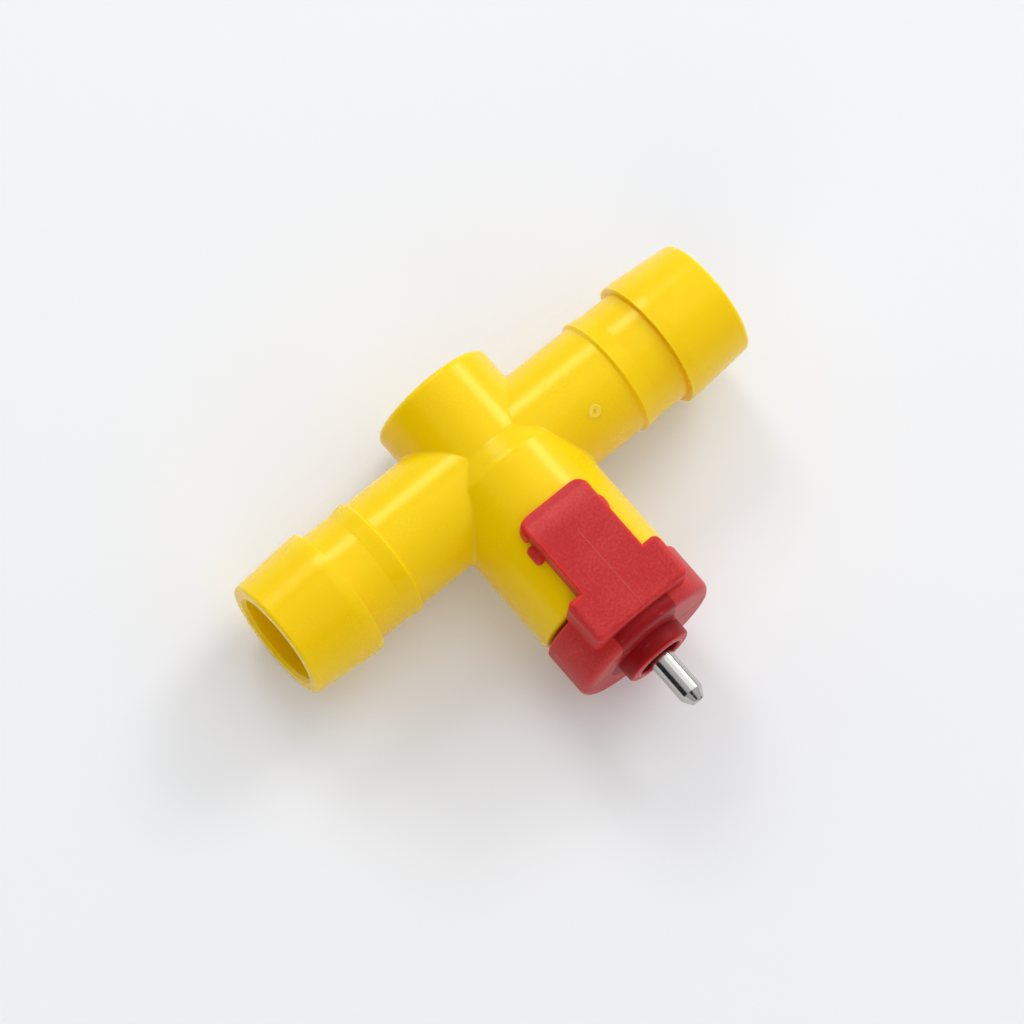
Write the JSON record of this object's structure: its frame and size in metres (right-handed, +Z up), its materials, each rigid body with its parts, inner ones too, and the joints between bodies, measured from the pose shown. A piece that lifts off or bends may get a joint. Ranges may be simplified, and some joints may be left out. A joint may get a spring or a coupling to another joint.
{
  "type": "poultry nipple drinker",
  "caption": "Poultry nipple drinker on a hose cross fitting: a sprung steel trigger pin in a clip-on cap lets water out of the line when a bird pushes it.",
  "frame": {"origin": "where the axis of the hose bore crosses the axis of the valve", "axes": "+X along the hose bore, -Y out of the valve along the trigger pin, +Z up, towards the side with the clip tab"},
  "size_m": [0.0464, 0.0339, 0.0143],
  "materials": {
    "yellow_plastic": "satin moulded plastic, solid yellow",
    "red_plastic": "finely grained moulded plastic, solid red",
    "stainless_steel": "turned and polished stainless steel",
    "spring_steel": "drawn stainless wire",
    "black_rubber": "smooth black rubber",
    "white_plastic": "natural white moulded plastic"
  },
  "bodies": {
    "fitting": {"tee_body": "yellow_plastic", "valve_cap": "red_plastic", "seat_seal": "black_rubber", "cap_o_ring": "black_rubber", "spring_seat": "white_plastic", "return_spring": "spring_steel"},
    "plunger": {"valve_plunger": "white_plastic"},
    "pin": {"trigger_pin": "stainless_steel"}
  },
  "joints": [
    {"name": "pin_push", "type": "slide", "parent": "fitting", "child": "plunger", "axis": [0, 1, 0], "range_m": [0, 0.0012], "stiffness_N_per_m": 150, "springref_m": -0.001, "deforming": ["return_spring"]},
    {"name": "pin_tilt", "type": "hinge", "parent": "plunger", "child": "pin", "pos_m": [0, -0.01358, 0], "axis": [0, 0, 1], "range_deg": [-6.5, 6.5], "stiffness_Nm_per_rad": 0.002}
  ]
}
